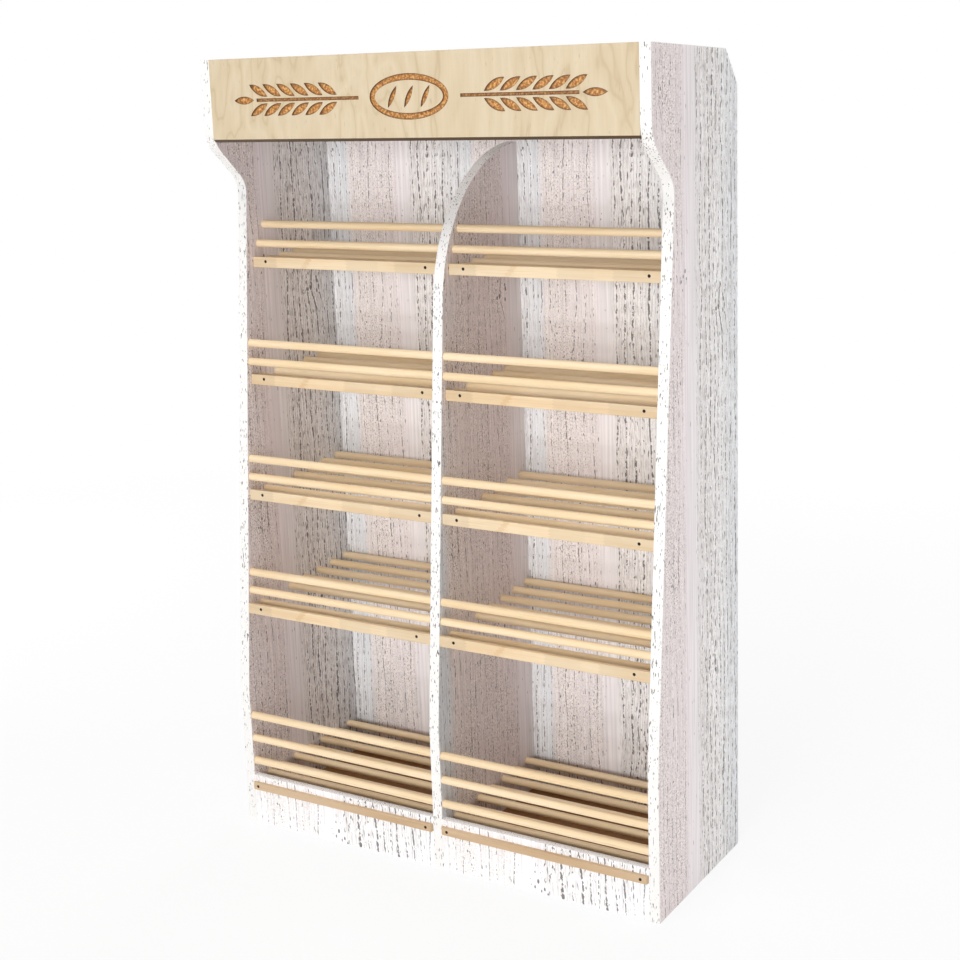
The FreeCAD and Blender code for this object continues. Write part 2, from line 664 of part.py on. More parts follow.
# ---------------------------------------------------------------- top panel
# It closes the rack behind the sign board, between the side panels.
top_panel = new_body("top_panel")
outline = new_sketch(top_panel, "Outline", "XY_Plane")
draw_box(outline, "-" + INNER_FACE, SIGN_BACK, INNER_FACE, BACK_FACE)
add_pad(top_panel, outline, "panel_thickness")
drill_ends(top_panel, "DowelBores", "-" + INNER_FACE, INNER_FACE, top_dowels,
           "(dowel_diameter / 2 + dowel_play)", "dowel_reach + dowel_end_gap")
drill_for_screws(top_panel, "BackScrewHoles", "-" + BACK_FACE,
                 [(x, "panel_thickness / 2") for x in back_screw_places],
                 "back_screw_length - back_thickness + bore_end_gap", reverse=True)
place(top_panel, height=TOP_UNDERSIDE)
nodes.append(top_panel)

# ---------------------------------------------------------------- sign board
# A plywood board between the headers of the side panels. Its routed ornament is a loaf
# with three cuts between two ears of wheat. No lettering.
sign = new_body("sign_board")
outline = new_sketch(sign, "Outline", "XY_Plane")
draw_box(outline, "-" + INNER_FACE, "header_setback", INNER_FACE, SIGN_BACK)
add_pad(sign, outline, "sign_height")
add_edge_work(sign, "Chamfer", "LowerBevel", "sign_bevel",
              lambda edge, middle: is_near(middle, "header_setback", "0", 0.1))
drill_ends(sign, "DowelBores", "-" + INNER_FACE, INNER_FACE, sign_dowels,
           "(dowel_diameter / 2 + dowel_play)", "dowel_reach + dowel_end_gap")

SIGN_MIDDLE = "(sign_height / 2)"
loaf = new_sketch(sign, "Loaf", "XZ_Plane", "-header_setback")
draw_oval(loaf, "0", SIGN_MIDDLE, "(loaf_length / 2)", "(loaf_width / 2)")
draw_oval(loaf, "0", SIGN_MIDDLE, "(loaf_length / 2 - loaf_line)", "(loaf_width / 2 - loaf_line)")
add_pocket(sign, loaf, "groove_depth")

cuts = new_sketch(sign, "LoafCuts", "XZ_Plane", "-header_setback")
for n in (-1, 0, 1):
    root = ("(%d * cut_step - cut_length / 2 * cos(cut_lean))" % n,
            "(%s - cut_length / 2 * sin(cut_lean))" % SIGN_MIDDLE)
    tip = ("(%d * cut_step + cut_length / 2 * cos(cut_lean))" % n,
           "(%s + cut_length / 2 * sin(cut_lean))" % SIGN_MIDDLE)
    draw_kernel(cuts, root, tip, "cut_width")
add_pocket(sign, cuts, "groove_depth")

for ear_name, hand in (("LeftEar", "-"), ("RightEar", "")):
    ear = new_sketch(sign, ear_name, "XZ_Plane", "-header_setback")
    for n in kernel_pairs:
        root_x = "(ear_start + %d * kernel_step)" % n
        tip_x = "(%s + kernel_length * cos(kernel_splay))" % root_x
        for side in ("+", "-"):
            root = (hand + root_x, "(%s %s kernel_offset)" % (SIGN_MIDDLE, side))
            tip = (hand + tip_x, "(%s %s (kernel_offset + kernel_length * sin(kernel_splay)))"
                   % (SIGN_MIDDLE, side))
            draw_kernel(ear, root, tip, "kernel_width")
    last_x = "(ear_start + %d * kernel_step)" % len(kernel_pairs)
    draw_kernel(ear, (hand + last_x, SIGN_MIDDLE), (hand + "(%s + kernel_length)" % last_x, SIGN_MIDDLE),
                "kernel_width")
    add_pocket(sign, ear, "groove_depth")

    stem = new_sketch(sign, ear_name + "Stem", "XZ_Plane", "-header_setback")
    draw_box(stem, hand + "stem_start", "(%s - stem_width / 2)" % SIGN_MIDDLE,
             hand + "(%s - stem_width)" % last_x, "(%s + stem_width / 2)" % SIGN_MIDDLE)
    add_pocket(sign, stem, "groove_depth")
place(sign, height=SIGN_BOTTOM)
nodes.append(sign)

# ---------------------------------------------------------------- boards of each bay
dowels = {"plinth": [], "block": []}
board_screws = []
slat_screws = []
cleats = []
cleat_screw_solids = []
for bay, bay_start in BAYS.items():
    bay_end = "(%s + bay_width)" % bay_start

    # Plinth board, flush with the panels' front edges.
    plinth = make_board("plinth_board_" + bay, "bay_width", "plinth_thickness", "plinth_height",
                        bay_start, "0", "0")
    drill_ends(plinth, "DowelBores", "0", "bay_width", plinth_dowels,
               "(dowel_diameter / 2 + dowel_play)", "dowel_reach + dowel_end_gap")
    slat_screw_places = ["slat_screw_inset", "(bay_width - slat_screw_inset)"]
    slat_screw_height = "(slat_bottom + slat_height / 2)"
    drill_for_screws(plinth, "SlatScrewHoles", "0", [(x, slat_screw_height) for x in slat_screw_places],
                     "slat_screw_length - slat_thickness + bore_end_gap")
    nodes.append(plinth)
    for n, (depth, height) in enumerate(plinth_dowels):
        for end, face, seat in (("a", bay_start, "dowel_seat"), ("b", bay_end, "dowel_reach")):
            dowels["plinth"].append(make_bar("PlinthDowel_%s_%d%s" % (bay, n, end), "dowel_diameter / 2",
                                             "dowel_seat + dowel_reach", (1, 0, 0),
                                             "(%s - %s)" % (face, seat), depth, height))

    # Slat across the plinth board, with rounded ends.
    SLAT_LENGTH = "(bay_width - 2 * board_play)"
    slat = make_board("plinth_slat_" + bay, SLAT_LENGTH, "slat_thickness", "slat_height",
                      "(%s + board_play)" % bay_start, "(-slat_thickness)", "slat_bottom")
    add_edge_work(slat, "Fillet", "RoundedEnds", "slat_corner",
                  lambda edge, middle: middle.y < 0.1 and not runs_along_x(edge))
    add_edge_work(slat, "Fillet", "EasedEdges", "board_round",
                  lambda edge, middle: runs_along_x(edge) and middle.y < 0.1)
    drill_for_screws(slat, "ScrewHoles", "0",
                     [("slat_screw_inset - board_play", "slat_height / 2"),
                      ("%s - slat_screw_inset + board_play" % SLAT_LENGTH, "slat_height / 2")],
                     "slat_thickness", countersunk=True)
    nodes.append(slat)
    for n, x in enumerate(slat_screw_places):
        slat_screws.append(make_screw("SlatScrew_%s_%d" % (bay, n), "slat_screw_length", (0, 1, 0),
                                      "(%s + %s)" % (bay_start, x), "(-slat_thickness)", slat_screw_height))

    # Bottom board on two cleats, hidden behind the plinth board.
    bottom = make_board("bottom_board_" + bay, "bay_width - 2 * bottom_play",
                        "(%s - plinth_thickness)" % BACK_FACE, "bottom_thickness",
                        "(%s + bottom_play)" % bay_start, "plinth_thickness", "cleat_size")
    nodes.append(bottom)
    for end, cleat_x, head_x, toward in (
            ("a", bay_start, "(%s + cleat_size)" % bay_start, (-1, 0, 0)),
            ("b", "(%s - cleat_size)" % bay_end, "(%s - cleat_size)" % bay_end, (1, 0, 0))):
        name = "Cleat_%s_%s" % (bay, end)
        blank = make_block(name + "_blank", "cleat_size", "(%s - plinth_thickness)" % BACK_FACE,
                           "cleat_size", cleat_x, "plinth_thickness", "0")
        holes = []
        for n, (depth, height) in enumerate(cleat_screws):
            middle = (head_x, depth, height)
            holes.append(make_turned("Part::Cylinder", "%s_hole_%d" % (name, n), toward, middle,
                                     Radius="screw_diameter / 2 + screw_play", Height="cleat_size"))
            holes.append(make_turned("Part::Cone", "%s_seat_%d" % (name, n), toward, middle,
                                     Radius1="screw_head / 2 + screw_play",
                                     Radius2="screw_diameter / 2 + screw_play", Height="screw_head_depth"))
            cleat_screw_solids.append(make_screw("%s_screw_%d" % (name, n), "cleat_screw_length",
                                                 toward, *middle))
        cleats.append(make_cut(name, blank, holes))

    # Front boards of the four shelves, each on two corner blocks.
    corner_blocks = []
    for shelf in SHELVES:
        board = make_board("front_board_%s_%s" % (bay, shelf), "(bay_width - 2 * board_play)",
                           "board_thickness", "board_height", "(%s + board_play)" % bay_start,
                           board_face(shelf), board_bottom(shelf))
        add_edge_work(board, "Fillet", "EasedEdges", "board_round",
                      lambda edge, middle: runs_along_x(edge) and middle.y < 0.1)
        drill_for_screws(board, "ScrewHoles", "0",
                         [("board_screw_inset - board_play", "board_screw_rise"),
                          ("bay_width - board_screw_inset - board_play", "board_screw_rise")],
                         "board_thickness", countersunk=True)
        nodes.append(board)
        block_depth = "(%s + board_thickness)" % board_face(shelf)
        block_bottom = "(%s + block_lift)" % board_bottom(shelf)
        screw_height = "(%s + board_screw_rise)" % board_bottom(shelf)
        dowel_depth, dowel_height = block_dowels[SHELVES.index(shelf)]
        for end, block_x, screw_x, dowel_x, bore_x in (
                ("a", bay_start, "(%s + board_screw_inset)" % bay_start,
                 "(%s - block_dowel_seat)" % bay_start, bay_start),
                ("b", "(%s - block_length)" % bay_end, "(%s - board_screw_inset)" % bay_end,
                 "(%s - block_dowel_reach)" % bay_end,
                 "(%s - block_dowel_reach - dowel_end_gap)" % bay_end)):
            name = "Block_%s_%s%s" % (bay, shelf, end)
            blank = make_block(name + "_blank", "block_length", "block_depth", "block_height",
                               block_x, block_depth, block_bottom)
            bore = make_bar(name + "_bore", "block_dowel / 2 + dowel_play",
                            "block_dowel_reach + dowel_end_gap", (1, 0, 0), bore_x, dowel_depth, dowel_height)
            hole = make_bar(name + "_hole", "screw_diameter / 2 + screw_play",
                            "board_screw_length - board_thickness + bore_end_gap", (0, 1, 0),
                            screw_x, block_depth, screw_height)
            corner_blocks.append(make_cut(name, blank, [bore, hole]))
            dowels["block"].append(make_bar(name + "_dowel", "block_dowel / 2",
                                            "block_dowel_seat + block_dowel_reach", (1, 0, 0),
                                            dowel_x, dowel_depth, dowel_height))
            board_screws.append(make_screw(name + "_screw", "board_screw_length", (0, 1, 0),
                                           screw_x, board_face(shelf), screw_height))
    nodes.append(make_node_group("corner_blocks_" + bay, corner_blocks))

    # Rods of the five shelves. Each ends in a blind bore at both sides.
    for shelf in SHELVES + ["bin"]:
        for kind, row in (("floor_rods", floor_rods(shelf)), ("lip_rods", lip_rods(shelf))):
            label = "%s_%s_%s" % (kind, bay, shelf)
            bars = [make_bar("%s_rod_%d" % (label, n + 1), "rod_diameter / 2", "bay_width + 2 * rod_seat",
                             (1, 0, 0), "(%s - rod_seat)" % bay_start, depth, height)
                    for n, (depth, height) in enumerate(row)]
            nodes.append(make_node_group(label, bars))

# ---------------------------------------------------------------- screws and dowels
back_screw_solids = [make_screw("BackScrew_%d" % n, "back_screw_length", (0, -1, 0), x,
                                "overall_depth", height)
                     for n, (x, height) in enumerate(back_screws)]
header_dowels = {"sign": [], "top": []}
for kind, places in (("sign", raised_sign_dowels), ("top", raised_top_dowels)):
    for n, (depth, height) in enumerate(places):
        for end, x in (("a", "(-%s - dowel_seat)" % INNER_FACE), ("b", "(%s - dowel_reach)" % INNER_FACE)):
            header_dowels[kind].append(make_bar("%sDowel_%d%s" % (kind, n, end), "dowel_diameter / 2",
                                                "dowel_seat + dowel_reach", (1, 0, 0), x, depth, height))
nodes.append(make_node_group("bottom_cleats", cleats))
nodes.append(make_node_group("cleat_screws", cleat_screw_solids))
nodes.append(make_node_group("front_board_screws", board_screws))
nodes.append(make_node_group("slat_screws", slat_screws))
nodes.append(make_node_group("back_panel_screws", back_screw_solids))
nodes.append(make_node_group("plinth_dowels", dowels["plinth"]))
nodes.append(make_node_group("corner_block_dowels", dowels["block"]))
nodes.append(make_node_group("sign_board_dowels", header_dowels["sign"]))
nodes.append(make_node_group("top_panel_dowels", header_dowels["top"]))

# ---------------------------------------------------------------- checks and files
doc.removeObject(workings.Name)
doc.recompute()
faults = [thing.Label for thing in doc.Objects if set(thing.State) & {"Invalid", "Error"}]
faults += [node.Label for node in nodes if node.Shape.isNull() or not node.Shape.isValid()]
if faults:
    raise RuntimeError("These failed: " + ", ".join(faults))

os.makedirs("parts", exist_ok=True)
for node in nodes:
    node.Shape.exportStep("parts/%s.step" % node.Label)
    print("%-26s solids %2d  volume %12.1f mm3" % (node.Label, len(node.Shape.Solids), node.Shape.Volume))
whole = FreeCAD.BoundBox()
for node in nodes:
    whole.add(node.Shape.BoundBox)
print("%d nodes, box %.2f x %.2f x %.2f mm" % (len(nodes), whole.XLength, whole.YLength, whole.ZLength))
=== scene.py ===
import math

import bpy
from mathutils import Matrix, Vector


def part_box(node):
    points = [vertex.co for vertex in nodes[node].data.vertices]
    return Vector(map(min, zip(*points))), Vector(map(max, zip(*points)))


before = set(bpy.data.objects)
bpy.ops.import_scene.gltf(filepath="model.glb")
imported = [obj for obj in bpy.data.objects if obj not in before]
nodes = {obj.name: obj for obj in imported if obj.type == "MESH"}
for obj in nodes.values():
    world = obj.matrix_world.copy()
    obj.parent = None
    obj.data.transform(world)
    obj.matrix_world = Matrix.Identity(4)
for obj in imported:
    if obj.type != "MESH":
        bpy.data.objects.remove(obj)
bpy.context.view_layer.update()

# ---------------------------------------------------------------- side panels and divider
# Laminated boards 28 mm thick with a whitewashed pine decor. The decor runs upright in
# bands: bluish, rose and bare white, with dark open pores. The front edges carry a plain
# white edge band that keeps only a few specks.


def linear(hex_colour):
    """Turns an sRGB hex colour into linear RGBA."""
    channels = [int(hex_colour[n:n + 2], 16) / 255 for n in (1, 3, 5)]
    return tuple(c / 12.92 if c <= 0.04045 else ((c + 0.055) / 1.055) ** 2.4 for c in channels) + (1,)


def add_node(tree, kind, inputs=None, output=0, stops=(), **settings):
    """Adds a node with its settings and links, and returns one of its outputs. Inputs go by
    name or number, and each is a value or another node's output. stops are the places and
    colours, or grey values, of the node's ramp."""
    node = tree.nodes.new("ShaderNode" + kind)
    for name, value in settings.items():
        setattr(node, name, value)
    for key, value in (inputs or {}).items():
        if isinstance(value, bpy.types.NodeSocket):
            tree.links.new(value, node.inputs[key])
        else:
            node.inputs[key].default_value = value
    for number, (place, colour) in enumerate(stops):
        ramp = node.color_ramp.elements
        stop = ramp[number] if number < len(ramp) else ramp.new(place)
        stop.position = place
        stop.color = linear(colour) if isinstance(colour, str) else (colour, colour, colour, 1)
    return node.outputs[output] if node.outputs else None


def new_material(name, roughness):
    """A material with its shader and output, ready for a colour. Returns it, its tree and its shader."""
    material = bpy.data.materials.new(name)
    material.use_nodes = True
    tree = material.node_tree
    tree.nodes.clear()
    surface = add_node(tree, "BsdfPrincipled", {"Roughness": roughness})
    add_node(tree, "OutputMaterial", {"Surface": surface})
    return material, tree, surface.node


def dress(material, *names):
    """Gives a material to every mesh slot of some nodes."""
    for name in names:
        mesh = nodes[name].data
        mesh.materials.clear()
        mesh.materials.append(material)


# The decor is printed in two inks: near black for lines and pores, pale brown for the rest.
MARK_INK = "#4A423F"
SOFT_INK = "#8F7C72"
BARE_WHITE = "#FDFCFE"
EDGE_WHITE = "#EBE9E7"
INK_COVER = 0.86

# Places across one repeat of the decor, with the tint there, and how thick the growth lines
# and the grit are.
DECOR_REPEAT = 0.600
DECOR_TINTS = [
    (0.00, "#EAEEF3"), (0.03, "#E6EBF1"), (0.09, "#E6EDF4"), (0.14, "#F4E9E8"), (0.27, "#F5E9EA"),
    (0.48, "#F5E9EB"), (0.53, "#F3EAEC"), (0.60, "#F2ECEC"), (0.65, "#F9F5F5"), (0.80, "#FFFDFD"),
    (0.93, "#F1F3F6"), (1.00, "#EAEEF3"),
]
LINE_AMOUNT = [(0.00, 0.9), (0.03, 0.6), (0.09, 0.5), (0.14, 0.55), (0.48, 0.55), (0.53, 0.0), (0.60, 0.0),
               (0.63, 1.0), (0.72, 1.18), (0.85, 1.0), (1.00, 0.9)]
GRIT_AMOUNT = [(0.00, 0.3), (0.08, 0.3), (0.15, 0.85), (0.27, 1.0), (0.47, 0.85), (0.53, 0.0), (0.60, 0.0),
               (0.65, 0.4), (1.00, 0.4)]
LINE_SPACING = 0.024
FINE_SPACING = 0.008
PORE_SPACING = 0.008
KNOT_SPACING = 0.17
BAND_WANDER = 0.03

# Noise patterns of the decor: cells to a metre across and along the grain, and detail.
# Grit and fine lines are drawn about twice as coarse as they are, so that they show.
DECOR_NOISES = {
    "sway": (4, 1.6, 1),
    "bend": (9, 3.0, 2),
    "rough": (110, 70, 1),
    "strength": (38, 4, 1),
    "beads": (110, 84, 2),
    "streaks": (150, 3, 4),
    "hatch": (330, 30, 2),
    "grit": (300, 210, 2),
    "cream": (190, 130, 1),
    "strokes": (230, 36, 1),
}


def whitewashed_decor(name, across_axis, grain_axis, face_axis, phase, repeat=DECOR_REPEAT, sheet=None,
                      painted_light_lift=0.0):
    """Whitewashed pine printed on laminate: matt, with pores that are slightly sunk. The faces that look
    along face_axis carry the decor, and the others the edge band. sheet is the left and right edge of one
    printed sheet, beside which the decor starts anew. The last argument is painted light: it lifts the tints
    and the edge band towards bare white and thins the soft marks, for boards that the lamps leave in shade."""
    material, tree, shader = new_material(name, 0.55)
    place = add_node(tree, "TexCoord", output="Object")
    split = add_node(tree, "SeparateXYZ", {0: place}).node.outputs
    across = split[across_axis]
    if sheet:
        across = add_node(tree, "Math", {0: across, 1: sheet[1], 2: sheet[0]}, operation="WRAP")
    board = add_node(tree, "CombineXYZ", {0: across, 1: split[grain_axis]})
    noise = {}
    for pattern, (cells_across, cells_along, detail) in DECOR_NOISES.items():
        cells = add_node(tree, "Mapping", {0: board, "Scale": (cells_across, cells_along, 1)})
        noise[pattern] = add_node(tree, "TexNoise", {"Vector": cells, "Scale": 1.0, "Detail": detail})

    # Bands, with edges that wander a little along the board.
    start = add_node(tree, "Math", {0: noise["sway"], 1: BAND_WANDER, 2: phase - BAND_WANDER / 2},
                     operation="MULTIPLY_ADD")
    turns = add_node(tree, "Math", {0: across, 1: 1 / repeat, 2: start}, operation="MULTIPLY_ADD")
    band = add_node(tree, "Math", {0: turns}, operation="FRACT")
    tint = add_node(tree, "ValToRGB", {0: band}, stops=DECOR_TINTS)
    lined = add_node(tree, "ValToRGB", {0: band}, stops=LINE_AMOUNT)
    gritty = add_node(tree, "ValToRGB", {0: band}, stops=GRIT_AMOUNT)
    # Grit comes in patches, about 110 mm wide and 330 mm long.
    patch = add_node(tree, "MapRange", {0: noise["bend"], 1: 0.38, 2: 0.62, 3: 0.35, 4: 1.25})
    gritty = add_node(tree, "Math", {0: gritty, 1: patch}, operation="MULTIPLY")

    # Knots: growth lines bend round scattered points, and black pores crowd there.
    knot_cells = add_node(tree, "Mapping", {0: board, "Scale": (1 / KNOT_SPACING, 0.7 / KNOT_SPACING, 1)})
    from_knot = add_node(tree, "TexVoronoi", {"Vector": knot_cells, "Scale": 1.0})
    knot = add_node(tree, "MapRange", {0: from_knot, 1: 0.30, 2: 0.10})

    # Growth lines: strings of near black strokes, 3 mm wide, with paler fine lines between.
    bent = add_node(tree, "Math", {0: knot, 1: 0.6}, operation="MULTIPLY")
    bent = add_node(tree, "Math", {0: noise["rough"], 1: 0.16, 2: bent}, operation="MULTIPLY_ADD")
    bent = add_node(tree, "Math", {0: noise["bend"], 1: 2.1, 2: bent}, operation="MULTIPLY_ADD")
    line_turns = add_node(tree, "Math", {0: across, 1: 1 / LINE_SPACING, 2: bent}, operation="MULTIPLY_ADD")
    off_line = add_node(tree, "Math", {0: line_turns, 1: 0.5}, operation="PINGPONG")
    beads = add_node(tree, "Math", {0: noise["strength"], 1: 0.55, 2: noise["beads"]},
                     operation="MULTIPLY_ADD")
    bead = add_node(tree, "MapRange", {0: beads, 1: 0.72, 2: 0.88, 3: 0.0, 4: 0.13})
    width = add_node(tree, "Math", {0: bead, 1: lined}, operation="MULTIPLY")
    depth = add_node(tree, "Math", {0: width, 1: off_line}, operation="SUBTRACT")
    line = add_node(tree, "MapRange", {0: depth, 1: 0.0, 2: 0.045})
    fine_bent = add_node(tree, "Math", {0: bent, 1: 2.2}, operation="MULTIPLY")
    fine_turns = add_node(tree, "Math", {0: across, 1: 1 / FINE_SPACING, 2: fine_bent},
                          operation="MULTIPLY_ADD")
    off_fine = add_node(tree, "Math", {0: fine_turns, 1: 0.5}, operation="PINGPONG")
    fine_bead = add_node(tree, "MapRange", {0: noise["beads"], 1: 0.62, 2: 0.42, 3: 0.0, 4: 0.17})
    fine_width = add_node(tree, "Math", {0: fine_bead, 1: lined}, operation="MULTIPLY")
    fine_depth = add_node(tree, "Math", {0: fine_width, 1: off_fine}, operation="SUBTRACT")
    fine = add_node(tree, "MapRange", {0: fine_depth, 1: -0.03, 2: 0.07, 4: 0.50})
    hatch = add_node(tree, "MapRange", {0: noise["hatch"], 1: 0.50, 2: 0.64, 4: 0.55})
    hatch = add_node(tree, "Math", {0: hatch, 1: lined}, operation="MULTIPLY")

    # Pores: brown grit, cream flecks, round dots up to 6 mm across, and strokes 30 mm long.
    grit = add_node(tree, "MapRange", {0: noise["grit"], 1: 0.53, 2: 0.63, 4: 0.80})
    grit = add_node(tree, "Math", {0: grit, 1: gritty}, operation="MULTIPLY")
    cream = add_node(tree, "MapRange", {0: noise["cream"], 1: 0.53, 2: 0.62, 4: 0.8})
    cream = add_node(tree, "Math", {0: cream, 1: gritty}, operation="MULTIPLY")
    pore_cells = add_node(tree, "Mapping", {0: board, "Scale": (1 / PORE_SPACING, 0.55 / PORE_SPACING, 1)})
    from_pore = add_node(tree, "TexVoronoi", {"Vector": pore_cells, "Scale": 1.0})
    lot = add_node(tree, "SeparateColor", {0: from_pore.node.outputs["Color"]}).node.outputs
    dot_size = add_node(tree, "MapRange", {0: lot[0], 1: 0.55, 2: 1.0, 3: 0.0, 4: 0.30})
    dot_size = add_node(tree, "Math", {0: dot_size, 1: gritty}, operation="MULTIPLY")
    knot_size = add_node(tree, "MapRange", {0: lot[2], 1: 0.25, 2: 1.0, 4: 0.50})
    knot_size = add_node(tree, "Math", {0: knot_size, 1: knot}, operation="MULTIPLY")
    pore_size = add_node(tree, "Math", {0: dot_size, 1: knot_size}, operation="MAXIMUM")
    pore_depth = add_node(tree, "Math", {0: pore_size, 1: from_pore}, operation="SUBTRACT")
    dot = add_node(tree, "MapRange", {0: pore_depth, 1: -0.02, 2: 0.08})
    reach = add_node(tree, "Math", {0: lined, 1: 0.07, 2: noise["strokes"]}, operation="MULTIPLY_ADD")
    stroke = add_node(tree, "MapRange", {0: reach, 1: 0.73, 2: 0.77})

    # The colours, from the tint through streaks and flecks to the soft and the black marks.
    streak = add_node(tree, "MapRange", {0: noise["streaks"], 1: 0.30, 2: 0.70, 3: 0.82, 4: 1.10})
    # Painted light: the tints are lifted towards bare white by the last argument.
    whitened = add_node(tree, "Mix", {0: painted_light_lift, 6: tint, 7: linear(BARE_WHITE)}, 2, data_type="RGBA")
    streaked = add_node(tree, "Mix", {0: 1.0, 6: whitened, 7: streak}, 2, data_type="RGBA",
                        blend_type="MULTIPLY")
    flecked = add_node(tree, "Mix", {0: cream, 6: streaked, 7: linear("#FFFAF0")}, 2, data_type="RGBA")
    soft = add_node(tree, "Math", {0: grit, 1: fine}, operation="MAXIMUM")
    soft = add_node(tree, "Math", {0: soft, 1: hatch}, operation="MAXIMUM")
    # Painted light: fewer soft marks where the tints are lifted.
    soft = add_node(tree, "Math", {0: soft, 1: 0.9 - 0.5 * painted_light_lift}, operation="MULTIPLY")
    softened = add_node(tree, "Mix", {0: soft, 6: flecked, 7: linear(SOFT_INK)}, 2, data_type="RGBA")
    hard = add_node(tree, "Math", {0: line, 1: stroke}, operation="MAXIMUM")
    hard = add_node(tree, "Math", {0: hard, 1: dot}, operation="MAXIMUM")
    inked = add_node(tree, "Math", {0: hard, 1: INK_COVER}, operation="MULTIPLY")
    printed = add_node(tree, "Mix", {0: inked, 6: softened, 7: linear(MARK_INK)}, 2, data_type="RGBA")

    # The edge band keeps a few specks, 3 mm wide and 12 mm long, in loose groups.
    speck_cells = add_node(tree, "Mapping", {0: place, "Scale": (330, 330, 75)})
    specks = add_node(tree, "TexNoise", {"Vector": speck_cells, "Scale": 1.0, "Detail": 1.0})
    groups = add_node(tree, "TexNoise", {"Vector": place, "Scale": 9.0, "Detail": 1.0})
    crowd = add_node(tree, "Math", {0: groups, 1: 0.20, 2: specks}, operation="MULTIPLY_ADD")
    speck = add_node(tree, "MapRange", {0: crowd, 1: 0.75, 2: 0.78, 4: 0.9})
    # Painted light: the edge band is lifted towards bare white by the same amount.
    plain = add_node(tree, "Mix", {0: painted_light_lift, 6: linear(EDGE_WHITE), 7: linear(BARE_WHITE)}, 2,
                     data_type="RGBA")
    edge = add_node(tree, "Mix", {0: speck, 6: plain, 7: linear(MARK_INK)}, 2, data_type="RGBA")

    normal = add_node(tree, "NewGeometry", output="Normal")
    facing = add_node(tree, "SeparateXYZ", {0: normal}).node.outputs[face_axis]
    flatness = add_node(tree, "Math", {0: facing}, operation="ABSOLUTE")
    on_face = add_node(tree, "Math", {0: flatness, 1: 0.9}, operation="GREATER_THAN")
    colour = add_node(tree, "Mix", {0: on_face, 6: edge, 7: printed}, 2, data_type="RGBA")
    tree.links.new(colour, shader.inputs["Base Color"])
    relief = add_node(tree, "Math", {0: streak, 1: hard}, operation="SUBTRACT")
    bump = add_node(tree, "Bump", {"Strength": 0.3, "Distance": 0.0005, "Height": relief})
    tree.links.new(bump, shader.inputs["Normal"])
    return material


PANEL_PHASE = 0.618
DIVIDER_PHASE, DIVIDER_REPEAT = 0.318, 0.780
panel_decor = whitewashed_decor("whitewashed_laminate_sides", "Y", "Z", "X", PANEL_PHASE)
dress(panel_decor, "left_side_panel", "right_side_panel")
divider_decor = whitewashed_decor("whitewashed_laminate_divider", "Y", "Z", "X", DIVIDER_PHASE,
                                  DIVIDER_REPEAT)
dress(divider_decor, "center_divider")

# ---------------------------------------------------------------- back and top panels
# The same decor on the back panel, where it starts anew at the left of each bay, lifted part of the way to
# bare white as painted light for the shade inside the bays. On the top panel, which hardly shows, its grain
# runs across the rack.
BAY_LEFT, BAY_STEP = 0.594, 0.608
BACK_REPEAT = 0.405
back_decor = whitewashed_decor("whitewashed_laminate_back", "X", "Z", "Y", BAY_LEFT / BACK_REPEAT - 0.05,
                               BACK_REPEAT, (-BAY_LEFT, BAY_STEP - BAY_LEFT), 0.4)
dress(back_decor, "back_panel")
top_decor = whitewashed_decor("whitewashed_laminate_top", "Y", "X", "Z", PANEL_PHASE)
dress(top_decor, "top_panel")

# ---------------------------------------------------------------- plinth boards
# One board 18 mm thick closes the foot of each bay, dowelled between the panels. It is cut from the whiter
# part of the same laminate, and its decor and edge band are also lifted almost to bare white as painted
# light, for its top face, which the lamps leave in shade.
PLINTH_PHASE = 1.11
plinth_decor = whitewashed_decor("whitewashed_laminate_plinth", "X", "Z", "Y", PLINTH_PHASE, BAY_STEP,
                                 (-BAY_LEFT, BAY_STEP - BAY_LEFT), 0.8)
dress(plinth_decor, "plinth_board_left", "plinth_board_right")


# ---------------------------------------------------------------- rods
# Turned pine rods, 20 mm across, sealed with a clear satin varnish. Each rod is a little
# paler or warmer than its neighbours, with straight grain along its length.

# Boards of the same pine have finger joints, with teeth 8 mm apart and 7 mm long, and a
# slanting knot at one place along each bay. The knot's values are shares of that bay.
HALF_TOOTH, TOOTH_LENGTH = 0.004, 0.0073
SHELF_PITCH = 0.301
BOARD_START = 1 - math.fmod(0.580 / SHELF_PITCH, 1)
KNOT_PLACE, KNOT_HALF_WIDTH, KNOT_SLANT = 0.27, 0.014, -0.45
KNOT_BROWN = "#D2AE80"


